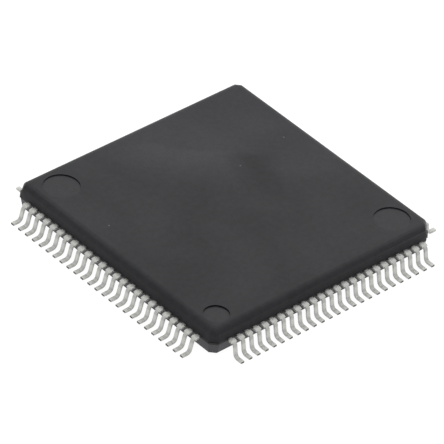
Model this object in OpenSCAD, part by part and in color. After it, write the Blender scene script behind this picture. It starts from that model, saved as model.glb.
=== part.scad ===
// Quad flat pack chip: a low-profile plastic package with 25 gull-wing leads on each of its four sides.
// Millimetres. +X right, +Y back, +Z up. The origin is on the seating plane, under the middle of the body.
// Lead 1 is the left lead of the south side (-Y), beside the index mark, and the numbers run
// anticlockwise seen from above: south, east, north, west.

/* [Body] */
// Width of the moulded body, measured across its parting land
body_w = 14; // [13.6:0.1:20]
// Thickness of the moulded body
body_h = 1.4; // [1.1:0.05:2]
// Air gap between the body and the seating plane
standoff = 0.1; // [0.05:0.01:0.2]
// Draft of the walls, in degrees, above and below the parting land
draft = 12; // [5:1:15]
// Radius of the upper edge
top_edge_r = 0.38; // [0.1:0.01:0.5]
// Radius of the lower edge
bottom_edge_r = 0.12; // [0.05:0.01:0.3]
// Corner cut, measured along each side, on the three plain corners
corner_cut = 0.35; // [0.2:0.05:0.6]
// Corner cut at the mould gate, the corner between the south and east sides
gate_cut = 0.6; // [0.3:0.05:0.7]

/* [Marks in the surface] */
// Diameter of the shallow rounds left by the ejector pins
ejector_d = 1.8; // [1:0.1:2.4]
// Distance of each ejector round from the body's two centre lines
ejector_at = 5.5; // [4.8:0.1:5.7]
// Depth of the ejector rounds
ejector_depth = 0.05; // [0.02:0.01:0.1]
// Diameter of the index mark beside lead 1
index_d = 1.25; // [0.8:0.05:1.6]
// Distance of the index mark from the body's two centre lines
index_at = 5.9; // [5.5:0.05:6]
// Depth of the index mark
index_depth = 0.06; // [0.02:0.01:0.12]

/* [Leads outside the body] */
// Number of leads on each side
leads_per_side = 25; // [5:5:25]
// Spacing of the leads
lead_pitch = 0.5; // [0.4:0.01:0.5]
// Thickness of the lead frame
lead_t = 0.1; // [0.08:0.01:0.15]
// Width of a lead's leg and foot
lead_w = 0.2; // [0.15:0.01:0.25]
// Length of the narrow neck between the body and the dam bar's stub
neck_len = 0.1; // [0.05:0.01:0.12]
// Width of the stub left on a lead where the dam bar was cut away
stub_w = 0.33; // [0.26:0.01:0.34]
// Length of the flat shoulder outside the body
shoulder_len = 0.18; // [0.14:0.01:0.3]
// How far the tips of the feet stand out from the body
lead_reach = 1; // [0.9:0.05:1.6]
// Lean of the leg away from vertical, in degrees
leg_lean = 12; // [3:1:20]
// Bend radius at the shoulder, on the middle of the metal
shoulder_bend_r = 0.22; // [0.12:0.01:0.25]
// Bend radius at the foot, on the middle of the metal
foot_bend_r = 0.22; // [0.12:0.01:0.25]

/* [Lead frame inside the body] */
// Width of the square die paddle
paddle_w = 8; // [6:0.1:9.6]
// How far the paddle is set down below the leads
downset = 0.2; // [0.15:0.01:0.25]
// Width of the four tie bars that held the paddle
tie_w = 0.3; // [0.2:0.02:0.36]
// Width of a tie bar's cut end, in the corner of the body
tie_end_w = 0.46; // [0.36:0.02:0.48]
// How far the cut ends of the tie bars stand out from the corners
tie_proud = 0.05; // [0.02:0.01:0.08]
// Gap between the paddle and the inner tips of the leads
tip_gap = 0.4; // [0.25:0.05:0.6]
// Width of a lead at its inner tip
tip_w = 0.12; // [0.08:0.01:0.14]
// Length of the straight inner tip, where the wire lands
tip_len = 0.25; // [0.15:0.05:0.4]
// Depth in the body at which the fan of inner leads begins
anchor_len = 0.45; // [0.35:0.05:0.6]
// Room kept for the tie bar beside the last inner tip of each side
tie_room = 0.7; // [0.5:0.05:0.9]

/* [Die and wires] */
// Width of the square silicon die
die_w = 5.5; // [4:0.1:6.6]
// Thickness of the die
die_t = 0.28; // [0.2:0.01:0.34]
// Thickness of the adhesive under the die
attach_t = 0.03; // [0.02:0.005:0.05]
// How far the adhesive shows around the die
attach_rim = 0.1; // [0.05:0.01:0.3]
// Thickness of a bond wire
wire_d = 0.025; // [0.02:0.001:0.05]
// Width of the ball bond at the die end of a wire
ball_d = 0.065; // [0.05:0.005:0.09]
// Height of the wire loop above the die
loop_h = 0.17; // [0.1:0.01:0.25]
// Distance of the bond pads from the edge of the die
pad_inset = 0.1; // [0.06:0.01:0.2]
// Distance of the last pad of a row from the corner of the die
pad_corner = 0.35; // [0.25:0.05:1]

/* [Hidden] */

SOUTH = 0;
EAST = 1;
NORTH = 2;
WEST = 3;
SIDES = [SOUTH, EAST, NORTH, WEST];
groups_per_side = 5;
leads_per_group = leads_per_side / groups_per_side;

// heights
body_bottom = standoff;
body_top = standoff + body_h;
lead_z = standoff + body_h / 2;
land_bottom = lead_z - lead_t / 2;
land_top = lead_z + lead_t / 2;
paddle_z = lead_z - downset;
paddle_top = paddle_z + lead_t / 2;
die_bottom = paddle_top + attach_t;
die_top = die_bottom + die_t;

// distances out from the middle, square to a side
wall_at = body_w / 2;
neck_end = wall_at + neck_len;
shoulder_end = wall_at + shoulder_len;
foot_tip = wall_at + lead_reach;
fan_outer = wall_at - anchor_len;
tip_at = paddle_w / 2 + tip_gap;
fan_inner = tip_at + tip_len;
pad_at = die_w / 2 - pad_inset;
wire_end = tip_at + tip_len / 2;

// places along a side
last_lead = (leads_per_side - 1) / 2 * lead_pitch;
fan_ratio = (tip_at - tie_room) / last_lead;
pad_ratio = (die_w / 2 - pad_corner) / last_lead;

// bends and edges
bend_angle = 90 - leg_lean;
bend_steps = 8;
stub_steps = bend_steps / 2;
edge_steps = 10;
mark_sides = 64;
tie_end_len = 0.4;
wire_rise = 0.1;
loop_shoulder = 0.08;
flat_end = 0.08;
ball_h = 0.02;
ball_sides = 8;
overlap = 0.01;

// where lead number i of a side, counted from 0, leaves the body
function lead_x(i) = (i - (leads_per_side - 1) / 2) * lead_pitch;

// one unit long, in the direction of v
function unit(v) = v / norm(v);

// the left-hand normal of the line from a to b
function left_of(a, b) = let (d = unit(b - a)) [-d[1], d[0]];

// the mitred sideways direction at point i of a path
function mitre(path, i) =
    i == 0 ? left_of(path[0], path[1]) :
    i == len(path) - 1 ? left_of(path[i - 1], path[i]) :
    let (m = left_of(path[i - 1], path[i]), n = left_of(path[i], path[i + 1])) (m + n) / (1 + m * n);

// the outline of a strip that follows a path, with its own width at each point
function strip(path, widths) = concat(
    [for (i = [0 : len(path) - 1]) path[i] + mitre(path, i) * widths[i] / 2],
    [for (i = [len(path) - 1 : -1 : 0]) path[i] - mitre(path, i) * widths[i] / 2]
);

function even(path, width) = [for (p = path) width];

// one drafted and rounded edge in section, as [distance out, height above the land], from land to face
function drafted_edge(reach, rise, r) =
    let (
        face_reach = reach - rise * tan(draft),
        centre = [face_reach - r * (1 - sin(draft)) / cos(draft), rise - r]
    )
    concat(
        [[reach, 0]],
        [for (i = [0 : edge_steps]) let (a = draft + (90 - draft) * i / edge_steps)
            centre + r * [cos(a), sin(a)]]
    );

// the right-hand half of the body's section, from its underside to its top
function wall_section(reach) = concat(
    [for (p = reverse(drafted_edge(reach, land_bottom - body_bottom, bottom_edge_r)))
        [p[0], land_bottom - p[1]]],
    [for (p = drafted_edge(reach, body_top - land_top, top_edge_r)) [p[0], land_top + p[1]]]
);

function reverse(list) = [for (i = [len(list) - 1 : -1 : 0]) list[i]];

// the body's section swept straight through, turned to face a given way
module swept_section(turn, reach, other_reach) {
    outline = concat(
        wall_section(reach),
        [for (p = reverse(wall_section(other_reach))) [-p[0], p[1]]]
    );
    rotate([0, 0, turn])
        rotate([90, 0, 0])
            linear_extrude(2 * body_w, center = true)
                polygon(outline);
}

// the outer form: four swept sections meet, two for the sides and two for the cut corners
module package_form() {
    plain = (body_w - corner_cut) / sqrt(2);
    gate = (body_w - gate_cut) / sqrt(2);
    intersection() {
        swept_section(0, wall_at, wall_at);
        swept_section(90, wall_at, wall_at);
        swept_section(45, plain, plain);
        swept_section(-45, gate, plain);
    }
}

module on_side(side) {
    rotate([0, 0, 90 * side])
        children();
}

// the flat part of one lead, inside the body and out to the end of its neck
module flat_lead(i) {
    x = lead_x(i);
    fan = [
        [x * fan_ratio, -tip_at],
        [x * fan_ratio, -fan_inner],
        [x, -fan_outer],
        [x, -neck_end]
    ];
    translate([0, 0, land_bottom])
        linear_extrude(lead_t)
            polygon(strip(fan, [tip_w, tip_w, lead_w, lead_w]));
}

// the gull-wing part of one lead in section: shoulder bend, leaning leg, foot bend and flat foot,
// each point given as [place on the middle of the metal, direction square to it]
function gull_wing() =
    let (
        leg_top = [shoulder_end + shoulder_bend_r * sin(bend_angle),
            lead_z - shoulder_bend_r * (1 - cos(bend_angle))],
        leg_bottom_z = lead_t / 2 + foot_bend_r * (1 - cos(bend_angle)),
        leg_bottom_x = leg_top[0] + (leg_top[1] - leg_bottom_z) / tan(bend_angle),
        foot_centre = [leg_bottom_x + foot_bend_r * sin(bend_angle), lead_t / 2 + foot_bend_r]
    )
    concat(
        [[[neck_end - overlap, lead_z], [0, 1]]],
        [for (i = [0 : bend_steps]) let (a = bend_angle * i / bend_steps, n = [sin(a), cos(a)])
            [[shoulder_end, lead_z - shoulder_bend_r] + shoulder_bend_r * n, n]],
        [for (i = [bend_steps : -1 : 0]) let (a = bend_angle * i / bend_steps, n = [sin(a), cos(a)])
            [foot_centre - foot_bend_r * n, n]],
        [[[foot_tip, lead_t / 2], [0, 1]]]
    );

// a strip of the lead frame standing on edge in section, through the given points and directions
module bent_strip(points, width) {
    outline = concat(
        [for (w = points) w[0] + w[1] * lead_t / 2],
        [for (w = reverse(points)) w[0] - w[1] * lead_t / 2]
    );
    rotate([90, 0, -90])
        linear_extrude(width, center = true)
            polygon(outline);
}

// the bent part of one lead, with the dam bar's stub reaching half-way round its shoulder bend
module bent_lead(i) {
    wing = gull_wing();
    stub = concat([[[neck_end, lead_z], [0, 1]]], [for (k = [1 : 1 + stub_steps]) wing[k]]);
    translate([lead_x(i), 0, 0]) {
        bent_strip(wing, lead_w);
        bent_strip(stub, stub_w);
    }
}

// one group of leads on one side, counted from 0
module lead_group(side, group) {
    first = group * leads_per_group;
    color("silver")
        on_side(side)
            for (i = [first : first + leads_per_group - 1])
                union() {
                    flat_lead(i);
                    bent_lead(i);
                }
}

// one tie bar along a diagonal, from the paddle's corner up to lead height and out through the corner
// cut, where it widens and stands a little proud
module tie_bar(turn, cut) {
    corner = (body_w - cut) / sqrt(2);
    end_from = corner - tie_end_len;
    paddle_corner = paddle_w / sqrt(2);
    path = [
        [paddle_corner - tie_w, paddle_z],
        [paddle_corner + tie_w, paddle_z],
        [paddle_corner + tie_w + downset, lead_z],
        [corner, lead_z]
    ];
    rotate([0, 0, turn]) {
        rotate([90, 0, 0])
            linear_extrude(tie_w, center = true)
                polygon(strip(path, even(path, lead_t)));
        translate([end_from, -tie_end_w / 2, land_bottom])
            cube([corner + tie_proud - end_from, tie_end_w, lead_t]);
    }
}

module die_paddle() {
    color("peru")
        union() {
            translate([0, 0, paddle_z])
                cube([paddle_w, paddle_w, lead_t], center = true);
            tie_bar(-45, gate_cut);
            tie_bar(45, corner_cut);
            tie_bar(135, corner_cut);
            tie_bar(225, corner_cut);
        }
}

module die_attach() {
    attach_w = die_w + 2 * attach_rim;
    color("lightgrey")
        translate([-attach_w / 2, -attach_w / 2, paddle_top])
            cube([attach_w, attach_w, attach_t]);
}

module silicon_die() {
    color("slategrey")
        translate([-die_w / 2, -die_w / 2, die_bottom])
            cube([die_w, die_w, die_t]);
}

// one bond wire: a ball on the pad, a short rise, a loop, and a flat end on the lead's inner tip
module bond_wire(i) {
    pad = [lead_x(i) * pad_ratio, -pad_at];
    landing = [lead_x(i) * fan_ratio, -wire_end];
    span = norm(landing - pad);
    landing_z = land_top + wire_d / 2;
    path = [
        [0, die_top],
        [0, die_top + wire_rise],
        [loop_shoulder, die_top + loop_h],
        [span / 2, die_top + loop_h],
        [span - flat_end, landing_z],
        [span, landing_z]
    ];
    translate([pad[0], pad[1], 0])
        rotate([0, 0, atan2(landing[1] - pad[1], landing[0] - pad[0])])
            union() {
                rotate([90, 0, 0])
                    linear_extrude(wire_d, center = true)
                        polygon(strip(path, even(path, wire_d)));
                translate([0, 0, die_top])
                    cylinder(h = ball_h, d = ball_d, $fn = ball_sides);
            }
}

module wire_group(side, group) {
    first = group * leads_per_group;
    color("gold")
        on_side(side)
            for (i = [first : first + leads_per_group - 1])
                bond_wire(i);
}

module surface_marks() {
    for (s = [-1, 1])
        translate([s * ejector_at, -s * ejector_at, 0]) {
            translate([0, 0, body_top - ejector_depth])
                cylinder(h = body_h, d = ejector_d, $fn = mark_sides);
            translate([0, 0, body_bottom - body_h])
                cylinder(h = body_h + ejector_depth, d = ejector_d, $fn = mark_sides);
        }
    translate([-index_at, -index_at, body_top - index_depth])
        cylinder(h = body_h, d = index_d, $fn = mark_sides);
}

// the compound fills every gap around the frame, the die and the wires, and grips them
module mould_body() {
    color("dimgrey")
        difference() {
            package_form();
            surface_marks();
            for (side = SIDES, i = [0 : leads_per_side - 1])
                on_side(side) {
                    flat_lead(i);
                    bond_wire(i);
                }
            die_paddle();
            die_attach();
            silicon_die();
        }
}

mould_body();
die_paddle();
die_attach();
silicon_die();
lead_group(SOUTH, 0);  // leads_south_1
lead_group(SOUTH, 1);  // leads_south_2
lead_group(SOUTH, 2);  // leads_south_3
lead_group(SOUTH, 3);  // leads_south_4
lead_group(SOUTH, 4);  // leads_south_5
lead_group(EAST, 0);  // leads_east_1
lead_group(EAST, 1);  // leads_east_2
lead_group(EAST, 2);  // leads_east_3
lead_group(EAST, 3);  // leads_east_4
lead_group(EAST, 4);  // leads_east_5
lead_group(NORTH, 0);  // leads_north_1
lead_group(NORTH, 1);  // leads_north_2
lead_group(NORTH, 2);  // leads_north_3
lead_group(NORTH, 3);  // leads_north_4
lead_group(NORTH, 4);  // leads_north_5
lead_group(WEST, 0);  // leads_west_1
lead_group(WEST, 1);  // leads_west_2
lead_group(WEST, 2);  // leads_west_3
lead_group(WEST, 3);  // leads_west_4
lead_group(WEST, 4);  // leads_west_5
wire_group(SOUTH, 0);  // wires_south_1
wire_group(SOUTH, 1);  // wires_south_2
wire_group(SOUTH, 2);  // wires_south_3
wire_group(SOUTH, 3);  // wires_south_4
wire_group(SOUTH, 4);  // wires_south_5
wire_group(EAST, 0);  // wires_east_1
wire_group(EAST, 1);  // wires_east_2
wire_group(EAST, 2);  // wires_east_3
wire_group(EAST, 3);  // wires_east_4
wire_group(EAST, 4);  // wires_east_5
wire_group(NORTH, 0);  // wires_north_1
wire_group(NORTH, 1);  // wires_north_2
wire_group(NORTH, 2);  // wires_north_3
wire_group(NORTH, 3);  // wires_north_4
wire_group(NORTH, 4);  // wires_north_5
wire_group(WEST, 0);  // wires_west_1
wire_group(WEST, 1);  // wires_west_2
wire_group(WEST, 2);  // wires_west_3
wire_group(WEST, 3);  // wires_west_4
wire_group(WEST, 4);  // wires_west_5
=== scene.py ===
"""Quad flat pack chip with 100 gull-wing leads, finished in the order it is made:
lead frame, die, bond wires, moulded body, formed leads, then the table, the lights and the camera."""

import math

import bpy
from mathutils import Matrix, Vector


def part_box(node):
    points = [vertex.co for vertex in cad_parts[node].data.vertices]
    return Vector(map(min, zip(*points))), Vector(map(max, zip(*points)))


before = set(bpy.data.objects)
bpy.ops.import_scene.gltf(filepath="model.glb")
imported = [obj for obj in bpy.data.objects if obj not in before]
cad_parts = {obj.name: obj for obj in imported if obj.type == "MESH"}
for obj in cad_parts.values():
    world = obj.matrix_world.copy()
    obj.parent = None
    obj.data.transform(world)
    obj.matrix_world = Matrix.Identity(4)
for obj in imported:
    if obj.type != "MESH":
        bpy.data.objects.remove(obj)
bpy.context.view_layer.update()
bpy.ops.object.select_all(action="DESELECT")


# ---- Die paddle -------------------------------------------------------------------------------
# The middle of the lead frame: a square plate hung on four tie bars and pushed down below the
# leads. Copper alloy strip 0.1 mm thick, stamped, with the fine lines that rolling leaves on it.

MM = 0.001
PER_MM = 1000
# Corners of the loose triangles nearer than this are joined, and edges that turn by more than
# this many degrees are rounded.
WELD = 0.0001 * MM
ROUNDED_FROM_DEG = 30
# Farther out than this, adding the distances along x and y, only the tie bars' cut ends show.
TIE_END_REACH = 13.38 * MM


def linear(hex_colour):
    """The linear colour, with alpha, of an sRGB colour such as "#A0A0A0"."""
    parts = [int(hex_colour[i : i + 2], 16) / 255 for i in (1, 3, 5)]
    return [c / 12.92 if c <= 0.04045 else ((c + 0.055) / 1.055) ** 2.4 for c in parts] + [1.0]


def add_node(tree, kind, inputs=(), **settings):
    """A node with its settings, and each input given as a value or as the output that feeds it."""
    made = tree.nodes.new(kind)
    for name, value in settings.items():
        setattr(made, name, value)
    for socket, value in dict(inputs).items():
        if isinstance(value, bpy.types.NodeSocket):
            tree.links.new(value, made.inputs[socket])
        else:
            made.inputs[socket].default_value = value
    return made


def new_finish(name):
    """An empty node material, and its node tree."""
    material = bpy.data.materials.new(name)
    material.use_nodes = True
    material.node_tree.nodes.clear()
    return material, material.node_tree


def put_on(node_names, material):
    """Gives the material to every slot of these CAD nodes."""
    for name in node_names:
        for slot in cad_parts[name].material_slots:
            slot.material = material


def round_edges(node_names, round_mm, smooth_under_deg, keep_sharp_mm=None):
    """Joins the loose triangles, smooths the bends, and rounds the corners that a press or a
    mould leaves soft. keep_sharp_mm is a band of heights whose edges stay crisp."""
    group = bpy.data.node_groups.new("joined_surface", "GeometryNodeTree")
    group.interface.new_socket("Geometry", in_out="INPUT", socket_type="NodeSocketGeometry")
    group.interface.new_socket("Geometry", in_out="OUTPUT", socket_type="NodeSocketGeometry")
    shape_in = add_node(group, "NodeGroupInput")
    joined = add_node(
        group, "GeometryNodeMergeByDistance", {"Geometry": shape_in.outputs[0], "Distance": WELD}
    )
    plain = add_node(
        group, "GeometryNodeRemoveAttribute", {0: joined.outputs[0], "Name": "custom_normal"}
    )
    angle = add_node(group, "GeometryNodeInputMeshEdgeAngle")
    soft = add_node(
        group,
        "FunctionNodeCompare",
        {0: angle.outputs["Unsigned Angle"], 1: math.radians(smooth_under_deg)},
        operation="LESS_THAN",
    )
    is_soft = soft.outputs[0]
    if keep_sharp_mm:
        place = add_node(group, "GeometryNodeInputPosition")
        height = add_node(group, "ShaderNodeSeparateXYZ", {0: place.outputs[0]})
        middle = (keep_sharp_mm[0] + keep_sharp_mm[1]) / 2 * MM
        reach = (keep_sharp_mm[1] - keep_sharp_mm[0]) / 2 * MM
        in_band = add_node(
            group, "ShaderNodeMath", {0: height.outputs[2], 1: middle, 2: reach}, operation="COMPARE"
        )
        outside = add_node(group, "FunctionNodeBooleanMath", {0: in_band.outputs[0]}, operation="NOT")
        both = add_node(
            group, "FunctionNodeBooleanMath", {0: is_soft, 1: outside.outputs[0]}, operation="AND"
        )
        is_soft = both.outputs[0]
    edges = add_node(
        group,
        "GeometryNodeSetShadeSmooth",
        {0: plain.outputs[0], "Shade Smooth": is_soft},
        domain="EDGE",
    )
    faces = add_node(
        group, "GeometryNodeSetShadeSmooth", {0: edges.outputs[0], "Shade Smooth": True}, domain="FACE"
    )
    add_node(group, "NodeGroupOutput", {0: faces.outputs[0]})
    for name in node_names:
        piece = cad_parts[name]
        piece.modifiers.new("joined_surface", "NODES").node_group = group
        if round_mm:
            bevel = piece.modifiers.new("rounded_edges", "BEVEL")
            bevel.limit_method = "ANGLE"
            bevel.angle_limit = math.radians(ROUNDED_FROM_DEG)
            bevel.width = round_mm * MM
            bevel.segments = 2
            bevel.harden_normals = True
        normals = piece.modifiers.new("flat_faces_stay_flat", "WEIGHTED_NORMAL")
        normals.keep_sharp = True


# Rolled copper alloy: warm, satin, with faint lines along the rolling direction.
copper, tree = new_finish("rolled_copper_alloy")
where = add_node(tree, "ShaderNodeTexCoord")
# Rolling lines are 5 to 20 microns apart; drawn 0.04 mm apart and 2 mm long so that they show.
along = add_node(
    tree,
    "ShaderNodeMapping",
    {0: where.outputs["Object"], "Scale": (0.5 * PER_MM, 25 * PER_MM, 25 * PER_MM)},
)
lines = add_node(tree, "ShaderNodeTexNoise", {"Vector": along.outputs[0], "Scale": 1, "Detail": 3})
# Handling leaves faint stains about 1 mm across.
stain = add_node(
    tree, "ShaderNodeTexNoise", {"Vector": where.outputs["Object"], "Scale": 0.9 * PER_MM, "Detail": 4}
)
shade = add_node(
    tree,
    "ShaderNodeMix",
    {0: stain.outputs[0], 6: linear("#C98A5E"), 7: linear("#B0714C")},
    data_type="RGBA",
)
# The cut ends of the tie bars, out in the four corners, are painted almost black and less metallic:
# painted shade over the bare copper there.
place = add_node(tree, "ShaderNodeSeparateXYZ", {0: where.outputs["Object"]})
side_x = add_node(tree, "ShaderNodeMath", {0: place.outputs[0]}, operation="ABSOLUTE")
side_y = add_node(tree, "ShaderNodeMath", {0: place.outputs[1]}, operation="ABSOLUTE")
outward = add_node(tree, "ShaderNodeMath", {0: side_x.outputs[0], 1: side_y.outputs[0]})
tie_end_mask = add_node(
    tree, "ShaderNodeMath", {0: outward.outputs[0], 1: TIE_END_REACH}, operation="GREATER_THAN"
)
tie_ends_painted_shade = add_node(
    tree,
    "ShaderNodeMix",
    {0: tie_end_mask.outputs[0], 6: shade.outputs[2], 7: linear("#2B2826")},
    data_type="RGBA",
)
sheen = add_node(
    tree, "ShaderNodeMapRange", {0: tie_end_mask.outputs[0], 1: 0.0, 2: 1.0, 3: 1.0, 4: 0.2}
)
gloss = add_node(
    tree, "ShaderNodeMapRange", {0: lines.outputs[0], 1: 0.3, 2: 0.7, 3: 0.3, 4: 0.45}
)
relief = add_node(
    tree, "ShaderNodeBump", {"Height": lines.outputs[0], "Strength": 0.5, "Distance": 0.002 * MM}
)
surface = add_node(
    tree,
    "ShaderNodeBsdfPrincipled",
    {
        "Base Color": tie_ends_painted_shade.outputs[2],
        "Metallic": sheen.outputs[0],
        "Specular IOR Level": 0.2,
        "Roughness": gloss.outputs[0],
        "Normal": relief.outputs[0],
    },
)
add_node(tree, "ShaderNodeOutputMaterial", {0: surface.outputs[0]})
put_on(["die_paddle"], copper)
round_edges(["die_paddle"], 0.01, 20)


# ---- Die adhesive -----------------------------------------------------------------------------
# A thin bed of silver-filled epoxy, dispensed on the paddle and cured under the die.

# Silver-filled epoxy: dull grey, with flakes that catch the light.
adhesive, tree = new_finish("silver_filled_epoxy")
where = add_node(tree, "ShaderNodeTexCoord")
# Silver flakes are 5 to 15 microns across; drawn at 0.03 mm.
flakes = add_node(
    tree, "ShaderNodeTexVoronoi", {"Vector": where.outputs["Object"], "Scale": 33 * PER_MM}
)
shade = add_node(
    tree,
    "ShaderNodeMix",
    {0: flakes.outputs["Color"], 6: linear("#8F9093"), 7: linear("#C3C3C4")},
    data_type="RGBA",
)
relief = add_node(
    tree,
    "ShaderNodeBump",
    {"Height": flakes.outputs["Distance"], "Strength": 0.6, "Distance": 0.004 * MM},
)
surface = add_node(
    tree,
    "ShaderNodeBsdfPrincipled",
    {
        "Base Color": shade.outputs[2],
        "Metallic": 0.6,
        "Roughness": 0.55,
        "Normal": relief.outputs[0],
    },
)
add_node(tree, "ShaderNodeOutputMaterial", {0: surface.outputs[0]})
put_on(["die_attach"], adhesive)
round_edges(["die_attach"], 0.008, 20)


# ---- Silicon die ------------------------------------------------------------------------------
# A square of silicon sawn from a wafer. The top carries the circuit under clear glass, with bare
# aluminium pads along the rim; the sawn sides are dull grey.

die_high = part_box("silicon_die")[1]
# The pads' middle line from the edge of the die, and half the width of their band.
PAD_INSET = 0.1 * MM
PAD_BAND = 0.045 * MM

# Passivated silicon: dark and glassy on top, a faint tint from the thin glass, sawn grey sides.
silicon, tree = new_finish("passivated_silicon")
where = add_node(tree, "ShaderNodeTexCoord")
place = add_node(tree, "ShaderNodeSeparateXYZ", {0: where.outputs["Object"]})
# The circuit shows as blocks about 0.17 mm wide and half as tall.
blocks = add_node(
    tree,
    "ShaderNodeTexBrick",
    {
        "Vector": where.outputs["Object"],
        "Color1": linear("#3D4557"),
        "Color2": linear("#544A5E"),
        "Mortar": linear("#6F7076"),
        "Scale": 3 * PER_MM,
        "Mortar Size": 0.03,
    },
)
side_x = add_node(tree, "ShaderNodeMath", {0: place.outputs[0]}, operation="ABSOLUTE")
side_y = add_node(tree, "ShaderNodeMath", {0: place.outputs[1]}, operation="ABSOLUTE")
reach = add_node(
    tree, "ShaderNodeMath", {0: side_x.outputs[0], 1: side_y.outputs[0]}, operation="MAXIMUM"
)
on_pads = add_node(
    tree,
    "ShaderNodeMath",
    {0: reach.outputs[0], 1: die_high.x - PAD_INSET, 2: PAD_BAND},
    operation="COMPARE",
)
padded = add_node(
    tree,
    "ShaderNodeMix",
    {0: on_pads.outputs[0], 6: blocks.outputs[0], 7: linear("#B9BCC0")},
    data_type="RGBA",
)
on_top = add_node(
    tree, "ShaderNodeMath", {0: place.outputs[2], 1: die_high.z - 0.002 * MM}, operation="GREATER_THAN"
)
shade = add_node(
    tree,
    "ShaderNodeMix",
    {0: on_top.outputs[0], 6: linear("#5A5B5F"), 7: padded.outputs[2]},
    data_type="RGBA",
)
# Saw marks on the sides, drawn 0.02 mm apart.
saw = add_node(
    tree, "ShaderNodeTexNoise", {"Vector": where.outputs["Object"], "Scale": 50 * PER_MM, "Detail": 2}
)
gloss = add_node(
    tree, "ShaderNodeMapRange", {0: on_top.outputs[0], 1: 0.0, 2: 1.0, 3: 0.6, 4: 0.12}
)
relief = add_node(
    tree, "ShaderNodeBump", {"Height": saw.outputs[0], "Strength": 0.2, "Distance": 0.001 * MM}
)
surface = add_node(
    tree,
    "ShaderNodeBsdfPrincipled",
    {
        "Base Color": shade.outputs[2],
        "Metallic": 0.3,
        "Roughness": gloss.outputs[0],
        "Normal": relief.outputs[0],
    },
)
add_node(tree, "ShaderNodeOutputMaterial", {0: surface.outputs[0]})
put_on(["silicon_die"], silicon)
round_edges(["silicon_die"], 0.004, 20)


# ---- Bond wires -------------------------------------------------------------------------------
# Gold wire 25 microns thick, one from each die pad to its lead tip: a ball bonded to the pad, a
# low loop, and a wedge pressed on the tip.

SIDES = ("south", "east", "north", "west")
wire_nodes = [f"wires_{side}_{group}" for side in SIDES for group in range(1, 6)]

# Drawn gold: warm yellow and bright, with fine lines from the drawing die.
gold, tree = new_finish("drawn_gold")
where = add_node(tree, "ShaderNodeTexCoord")
# The die's lines are about a micron apart; drawn 0.011 mm apart.
lines = add_node(
    tree, "ShaderNodeTexNoise", {"Vector": where.outputs["Object"], "Scale": 90 * PER_MM, "Detail": 2}
)
shade = add_node(
    tree,
    "ShaderNodeMix",
    {0: lines.outputs[0], 6: linear("#F0C060"), 7: linear("#DDA94A")},
    data_type="RGBA",
)
gloss = add_node(
    tree, "ShaderNodeMapRange", {0: lines.outputs[0], 1: 0.3, 2: 0.7, 3: 0.18, 4: 0.3}
)
relief = add_node(
    tree, "ShaderNodeBump", {"Height": lines.outputs[0], "Strength": 0.2, "Distance": 0.0005 * MM}
)
surface = add_node(
    tree,
    "ShaderNodeBsdfPrincipled",
    {
        "Base Color": shade.outputs[2],
        "Metallic": 1.0,
        "Roughness": gloss.outputs[0],
        "Normal": relief.outputs[0],
    },
)
add_node(tree, "ShaderNodeOutputMaterial", {0: surface.outputs[0]})
put_on(wire_nodes, gold)
round_edges(wire_nodes, 0, 50)


# ---- Moulded body -----------------------------------------------------------------------------
# Black epoxy, mostly silica filler, pressed hot into the mould round the lead frame. The mould
# faces are spark-eroded, so the skin is fine and matt; the ejector pins leave smoother rounds.

body_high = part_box("mould_body")[1]
# Centre and radius of each round that an ejector pin or the index pin leaves, in mm.
PIN_ROUNDS = ((-5.5, 5.5, 0.9), (5.5, -5.5, 0.9), (-5.9, -5.9, 0.625))
# Directions across and along the line where two melt fronts met, and the middle of a pale patch.
FRONT_ACROSS = (0.69, 0.72, 0)
FRONT_ALONG = (0.72, -0.69, 0)
PALE_PATCH = (5.4 * MM, 0.9 * MM, body_high.z)
# Spacing of the cells that may hold a bare grain of filler, the radius of a grain, and how far
# down from the top face they show.
GRAIN_SPACING = 2.8 * MM
GRAIN_RADIUS = 0.04 * MM
GRAIN_DEPTH = 0.1 * MM
# Middle and half height of the walls below the leads.
LOW_WALL_AT = 0.48 * MM
LOW_WALL_HALF = 0.27 * MM

# Filled epoxy: charcoal black with a soft sheen, cloudy where the melt fronts ran, and specked
# where a grain of filler lies in the skin.
compound, tree = new_finish("black_moulded_epoxy")
where = add_node(tree, "ShaderNodeTexCoord")
place = add_node(tree, "ShaderNodeSeparateXYZ", {0: where.outputs["Object"]})
# Faint clouds 3 to 6 mm across, and a mottle of 0.3 mm.
clouds = add_node(
    tree,
    "ShaderNodeTexNoise",
    {"Vector": where.outputs["Object"], "Scale": 0.22 * PER_MM, "Detail": 3, "Distortion": 0.6},
)
mottle = add_node(
    tree, "ShaderNodeTexNoise", {"Vector": where.outputs["Object"], "Scale": 3.3 * PER_MM, "Detail": 3}
)
# Where two melt fronts met, a paler front ends in a crisp slanting border, up to 0.5 mm wavy.
waves = add_node(
    tree, "ShaderNodeTexNoise", {"Vector": where.outputs["Object"], "Scale": 0.9 * PER_MM, "Detail": 3}
)
wavy = add_node(
    tree,
    "ShaderNodeVectorMath",
    {0: waves.outputs["Color"], 1: (0.9 * MM, 0.9 * MM, 0), 2: where.outputs["Object"]},
    operation="MULTIPLY_ADD",
)
across = add_node(
    tree, "ShaderNodeVectorMath", {0: wavy.outputs[0], 1: FRONT_ACROSS}, operation="DOT_PRODUCT"
)
along = add_node(
    tree, "ShaderNodeVectorMath", {0: wavy.outputs[0], 1: FRONT_ALONG}, operation="DOT_PRODUCT"
)
rising = add_node(
    tree,
    "ShaderNodeMapRange",
    {0: across.outputs["Value"], 1: 1.2 * MM, 2: 4.3 * MM, 3: 0.0, 4: 0.6},
    interpolation_type="SMOOTHSTEP",
)
border = add_node(
    tree,
    "ShaderNodeMapRange",
    {0: across.outputs["Value"], 1: 4.35 * MM, 2: 4.75 * MM, 3: 0.0, 4: 1.0},
    interpolation_type="SMOOTHSTEP",
)
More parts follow.
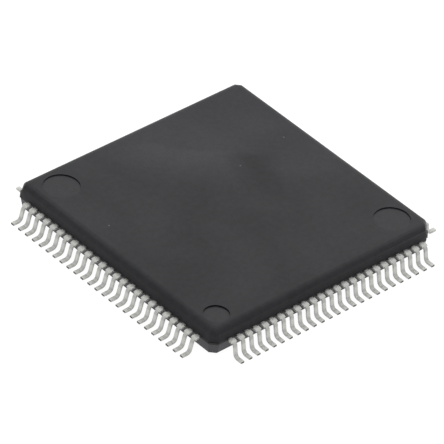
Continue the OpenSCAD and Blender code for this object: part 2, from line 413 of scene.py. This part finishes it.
front_end = add_node(
    tree,
    "ShaderNodeMapRange",
    {0: along.outputs["Value"], 1: -0.4 * MM, 2: 1.1 * MM, 3: 1.0, 4: 0.0},
    interpolation_type="SMOOTHSTEP",
)
front_start = add_node(
    tree,
    "ShaderNodeMapRange",
    {0: along.outputs["Value"], 1: -6.2 * MM, 2: -3.2 * MM, 3: 0.35, 4: 1.0},
    interpolation_type="SMOOTHSTEP",
)
ended = add_node(
    tree, "ShaderNodeMath", {0: front_end.outputs[0], 1: front_start.outputs[0]}, operation="MULTIPLY"
)
front = add_node(
    tree, "ShaderNodeMath", {0: rising.outputs[0], 1: ended.outputs[0]}, operation="MULTIPLY"
)
pale = add_node(
    tree, "ShaderNodeMix", {0: border.outputs[0], 2: front.outputs[0], 3: 0.3}, data_type="FLOAT"
)
patch_away = add_node(
    tree, "ShaderNodeVectorMath", {0: wavy.outputs[0], 1: PALE_PATCH}, operation="DISTANCE"
)
patch = add_node(
    tree,
    "ShaderNodeMapRange",
    {0: patch_away.outputs["Value"], 1: 0.5 * MM, 2: 2.2 * MM, 3: 0.35, 4: 0.0},
    interpolation_type="SMOOTHSTEP",
)
flow = add_node(
    tree, "ShaderNodeMath", {0: pale.outputs[0], 1: patch.outputs[0]}, operation="MAXIMUM"
)
cloud_tone = add_node(
    tree, "ShaderNodeMapRange", {0: clouds.outputs[0], 1: 0.3, 2: 0.7, 3: 0.03, 4: 0.15}
)
mottle_tone = add_node(
    tree, "ShaderNodeMapRange", {0: mottle.outputs[0], 1: 0.3, 2: 0.7, 3: -0.08, 4: 0.12}
)
cloudy_tone = add_node(tree, "ShaderNodeMath", {0: flow.outputs[0], 1: cloud_tone.outputs[0]})
tone = add_node(
    tree, "ShaderNodeMath", {0: cloudy_tone.outputs[0], 1: mottle_tone.outputs[0]}, use_clamp=True
)
cloudy = add_node(
    tree,
    "ShaderNodeMix",
    {0: tone.outputs[0], 6: linear("#0E0E12"), 7: linear("#2D2D32")},
    data_type="RGBA",
)
# The eroded skin has pits of 20 to 40 microns; drawn at 0.08 mm.
grain = add_node(
    tree, "ShaderNodeTexNoise", {"Vector": where.outputs["Object"], "Scale": 12 * PER_MM, "Detail": 4}
)
grainy = add_node(
    tree,
    "ShaderNodeMapRange",
    {0: grain.outputs[0], 1: 0.3, 2: 0.7, 3: 0.8, 4: 1.2},
)
shade = add_node(
    tree,
    "ShaderNodeVectorMath",
    {0: cloudy.outputs[2], "Scale": grainy.outputs[0]},
    operation="SCALE",
)
# Floors of the rounds, from the distance to each centre.
in_plan = add_node(tree, "ShaderNodeCombineXYZ", {0: place.outputs[0], 1: place.outputs[1]})
pin_floor = 0.0
for centre_x, centre_y, radius in PIN_ROUNDS:
    away = add_node(
        tree,
        "ShaderNodeVectorMath",
        {0: in_plan.outputs[0], 1: (centre_x * MM, centre_y * MM, 0)},
        operation="DISTANCE",
    )
    inside = add_node(
        tree, "ShaderNodeMath", {0: away.outputs["Value"], 1: radius * MM}, operation="LESS_THAN"
    )
    pin_floor = add_node(
        tree, "ShaderNodeMath", {0: inside.outputs[0], 1: pin_floor}, operation="MAXIMUM"
    ).outputs[0]
# A coarse grain of silica lies bare in the eroded skin of the top in about three cells of ten.
cells = add_node(
    tree,
    "ShaderNodeTexVoronoi",
    {"Vector": where.outputs["Object"], "Scale": 1 / GRAIN_SPACING},
    voronoi_dimensions="2D",
)
near_grain = add_node(
    tree,
    "ShaderNodeMath",
    {0: cells.outputs["Distance"], 1: GRAIN_RADIUS / GRAIN_SPACING},
    operation="LESS_THAN",
)
cell_draw = add_node(tree, "ShaderNodeSeparateXYZ", {0: cells.outputs["Color"]})
chosen = add_node(
    tree, "ShaderNodeMath", {0: cell_draw.outputs[0], 1: 0.7}, operation="GREATER_THAN"
)
on_top = add_node(
    tree,
    "ShaderNodeMath",
    {0: place.outputs[2], 1: body_high.z - GRAIN_DEPTH},
    operation="GREATER_THAN",
)
bare_grain = add_node(
    tree, "ShaderNodeMath", {0: near_grain.outputs[0], 1: chosen.outputs[0]}, operation="MULTIPLY"
)
eroded_top = add_node(
    tree, "ShaderNodeMath", {0: on_top.outputs[0], 1: pin_floor}, operation="GREATER_THAN"
)
bare_on_top = add_node(
    tree, "ShaderNodeMath", {0: bare_grain.outputs[0], 1: eroded_top.outputs[0]}, operation="MULTIPLY"
)
speckled = add_node(
    tree,
    "ShaderNodeMix",
    {0: bare_on_top.outputs[0], 6: shade.outputs[0], 7: linear("#4E4E4D")},
    data_type="RGBA",
)
gloss = add_node(
    tree, "ShaderNodeMapRange", {0: clouds.outputs[0], 1: 0.3, 2: 0.7, 3: 0.55, 4: 0.45}
)
pin_gloss = add_node(
    tree, "ShaderNodeMix", {0: pin_floor, 2: gloss.outputs[0], 3: 0.38}, data_type="FLOAT"
)
# The walls below the leads are painted greyer: a painted reflection of the lit table below them.
low_wall = add_node(
    tree,
    "ShaderNodeMath",
    {0: place.outputs[2], 1: LOW_WALL_AT, 2: LOW_WALL_HALF},
    operation="COMPARE",
)
low_walls_painted_reflection = add_node(
    tree,
    "ShaderNodeVectorMath",
    {0: low_wall.outputs[0], 1: linear("#343436")[:3], 2: speckled.outputs[2]},
    operation="MULTIPLY_ADD",
)
relief = add_node(
    tree, "ShaderNodeBump", {"Height": grain.outputs[0], "Strength": 0.5, "Distance": 0.006 * MM}
)
surface = add_node(
    tree,
    "ShaderNodeBsdfPrincipled",
    {
        "Base Color": low_walls_painted_reflection.outputs[0],
        "Roughness": pin_gloss.outputs[0],
        "IOR": 1.5,
        "Specular IOR Level": 0.25,
        "Normal": relief.outputs[0],
    },
)
add_node(tree, "ShaderNodeOutputMaterial", {0: surface.outputs[0]})
put_on(["mould_body"], compound)
round_edges(["mould_body"], 0, 50, keep_sharp_mm=(0.745, 0.855))


# ---- Leads ------------------------------------------------------------------------------------
# 25 a side, stamped in one with the frame. After moulding, the bar that ties them is cut away,
# they are plated with matt tin, then bent down to feet and cut to length, which bares the copper.

lead_nodes = [f"leads_{side}_{group}" for side in SIDES for group in range(1, 6)]
BODY_REACH = body_high.x
LEAD_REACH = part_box("leads_east_1")[1].x
# How deep the cut end of a foot is drawn dark grey, the middle height of the leg, and how far out
# along the neck the plate is drawn darker beside the body.
CUT_DEPTH = 0.006 * MM
LEG_MIDDLE = 0.42 * MM
NECK_DARKER_REACH = 0.13 * MM

# Matt tin plate: light warm grey and satin, bare copper where the lead runs inside the body, and dark
# grey on the cut end of the foot.
tin, tree = new_finish("matt_tin_plate")
where = add_node(tree, "ShaderNodeTexCoord")
place = add_node(tree, "ShaderNodeSeparateXYZ", {0: where.outputs["Object"]})
side_x = add_node(tree, "ShaderNodeMath", {0: place.outputs[0]}, operation="ABSOLUTE")
side_y = add_node(tree, "ShaderNodeMath", {0: place.outputs[1]}, operation="ABSOLUTE")
reach = add_node(
    tree, "ShaderNodeMath", {0: side_x.outputs[0], 1: side_y.outputs[0]}, operation="MAXIMUM"
)
# Tin grains are 3 to 8 microns; drawn at 0.03 mm.
grain = add_node(
    tree, "ShaderNodeTexNoise", {"Vector": where.outputs["Object"], "Scale": 33 * PER_MM, "Detail": 3}
)
# Plating differs a little from lead to lead and along each one.
patches = add_node(
    tree, "ShaderNodeTexNoise", {"Vector": where.outputs["Object"], "Scale": 2.2 * PER_MM, "Detail": 2}
)
plated = add_node(
    tree,
    "ShaderNodeMix",
    {0: patches.outputs[0], 6: linear("#B9B9B5"), 7: linear("#C3C3C0")},
    data_type="RGBA",
)
# Painted light along the lead: the plate is painted darker on the shoulder and the two bends, and
# painted lighter on the upright of the leg and toward the tip. It is also drawn darker on the neck
# beside the body.
off_upright = add_node(
    tree, "ShaderNodeMath", {0: place.outputs[2], 1: LEG_MIDDLE}, operation="SUBTRACT"
)
from_upright = add_node(tree, "ShaderNodeMath", {0: off_upright.outputs[0]}, operation="ABSOLUTE")
upright = add_node(
    tree,
    "ShaderNodeMapRange",
    {0: from_upright.outputs[0], 1: 0.08 * MM, 2: 0.26 * MM, 3: 0.25, 4: 0.0},
    interpolation_type="SMOOTHSTEP",
)
toward_tip = add_node(
    tree,
    "ShaderNodeMapRange",
    {0: reach.outputs[0], 1: LEAD_REACH - 0.3 * MM, 2: LEAD_REACH, 3: 0.8, 4: 0.98},
)
painted_light_along_lead = add_node(tree, "ShaderNodeMath", {0: upright.outputs[0], 1: toward_tip.outputs[0]})
neck_darker = add_node(
    tree,
    "ShaderNodeMapRange",
    {0: reach.outputs[0], 1: BODY_REACH, 2: BODY_REACH + NECK_DARKER_REACH, 3: 0.35, 4: 1.0},
)
painted_light_and_dark_neck = add_node(
    tree, "ShaderNodeMath", {0: painted_light_along_lead.outputs[0], 1: neck_darker.outputs[0]}, operation="MULTIPLY"
)
plate_with_painted_light = add_node(
    tree, "ShaderNodeVectorMath", {0: plated.outputs[2], "Scale": painted_light_and_dark_neck.outputs[0]}, operation="SCALE"
)
inner = add_node(
    tree, "ShaderNodeMath", {0: reach.outputs[0], 1: BODY_REACH - 0.02 * MM}, operation="LESS_THAN"
)
cut = add_node(
    tree,
    "ShaderNodeMath",
    {0: reach.outputs[0], 1: LEAD_REACH - CUT_DEPTH},
    operation="GREATER_THAN",
)
bare = add_node(
    tree,
    "ShaderNodeMix",
    {0: inner.outputs[0], 6: plate_with_painted_light.outputs[0], 7: linear("#C07F55")},
    data_type="RGBA",
)
shade = add_node(
    tree,
    "ShaderNodeMix",
    {0: cut.outputs[0], 6: bare.outputs[2], 7: linear("#535351")},
    data_type="RGBA",
)
gloss = add_node(
    tree, "ShaderNodeMapRange", {0: grain.outputs[0], 1: 0.3, 2: 0.7, 3: 0.5, 4: 0.65}
)
relief = add_node(
    tree, "ShaderNodeBump", {"Height": grain.outputs[0], "Strength": 0.4, "Distance": 0.003 * MM}
)
surface = add_node(
    tree,
    "ShaderNodeBsdfPrincipled",
    {
        "Base Color": shade.outputs[2],
        "Metallic": 0.7,
        "Roughness": gloss.outputs[0],
        "Normal": relief.outputs[0],
    },
)
add_node(tree, "ShaderNodeOutputMaterial", {0: surface.outputs[0]})
put_on(lead_nodes, tin)
round_edges(lead_nodes, 0.012, 20)


# ---- Table ------------------------------------------------------------------------------------
# A light table: white acrylic lit from below, so that hardly any shadow falls on it.

TABLE_W = 3
# The feet stand this little above it, so that the two surfaces never share a plane.
TABLE_GAP = 0.02 * MM
bpy.ops.mesh.primitive_plane_add(size=TABLE_W, location=(0, 0, -TABLE_GAP))
table = bpy.context.object
table.name = "light_table"
bpy.ops.object.transform_apply(location=True)

# Back-lit opal acrylic: an even white glow with hardly any sheen.
acrylic, tree = new_finish("lit_white_acrylic")
surface = add_node(
    tree,
    "ShaderNodeBsdfPrincipled",
    {
        "Base Color": linear("#5A5A5A"),
        "Roughness": 0.6,
        "Specular IOR Level": 0.1,
        "Emission Color": linear("#FFFFFF"),
        "Emission Strength": 0.95,
    },
)
add_node(tree, "ShaderNodeOutputMaterial", {0: surface.outputs[0]})
table.data.materials.append(acrylic)


# ---- Lights -----------------------------------------------------------------------------------
# A white tent round the table, with one broad soft light across its roof and its back.

SOFT_LIGHT = Vector((0.35, 0.35, 0.87)).normalized()
TENT_GLOW, SOFT_LIGHT_GLOW = 1.0, 1.75
room = bpy.data.worlds.new("white_tent")
bpy.context.scene.world = room
room.use_nodes = True
tree = room.node_tree
tree.nodes.clear()
where = add_node(tree, "ShaderNodeTexCoord")
toward_light = add_node(
    tree,
    "ShaderNodeVectorMath",
    {0: where.outputs["Generated"], 1: SOFT_LIGHT},
    operation="DOT_PRODUCT",
)
glow = add_node(
    tree,
    "ShaderNodeMapRange",
    {0: toward_light.outputs["Value"], 1: 0.5, 2: 0.95, 3: TENT_GLOW, 4: SOFT_LIGHT_GLOW},
    interpolation_type="SMOOTHSTEP",
)
tent = add_node(tree, "ShaderNodeBackground", {0: (1, 1, 1, 1), 1: glow.outputs[0]})
add_node(tree, "ShaderNodeOutputWorld", {0: tent.outputs[0]})

bpy.context.scene.view_settings.view_transform = "Standard"


# ---- Camera -----------------------------------------------------------------------------------
# A long lens from the front left corner, a little tilted, looking down at the chip.

AZIMUTH, ELEVATION, TILT = -45.2708, 37.8494, 5.8549
DISTANCE = 254.168 * MM
AIM_RIGHT, AIM_UP = -0.1135 * MM, 0.2613 * MM
SENSOR = 36
LENS = 438.2

turn, rise, tilt = (math.radians(angle) for angle in (AZIMUTH, ELEVATION, TILT))
back = Vector((math.sin(turn) * math.cos(rise), -math.cos(turn) * math.cos(rise), math.sin(rise)))
level_right = Vector((math.cos(turn), math.sin(turn), 0))
level_up = back.cross(level_right)
right = math.cos(tilt) * level_right + math.sin(tilt) * level_up
up = -math.sin(tilt) * level_right + math.cos(tilt) * level_up
view = bpy.data.cameras.new("camera")
view.sensor_width = SENSOR
view.lens = LENS
view.clip_start = 0.01
view.clip_end = 10
camera = bpy.data.objects.new("camera", view)
bpy.context.collection.objects.link(camera)
axes = Matrix((right, up, back)).transposed().to_4x4()
camera.matrix_world = Matrix.Translation(back * DISTANCE + right * AIM_RIGHT + up * AIM_UP) @ axes
bpy.context.scene.camera = camera
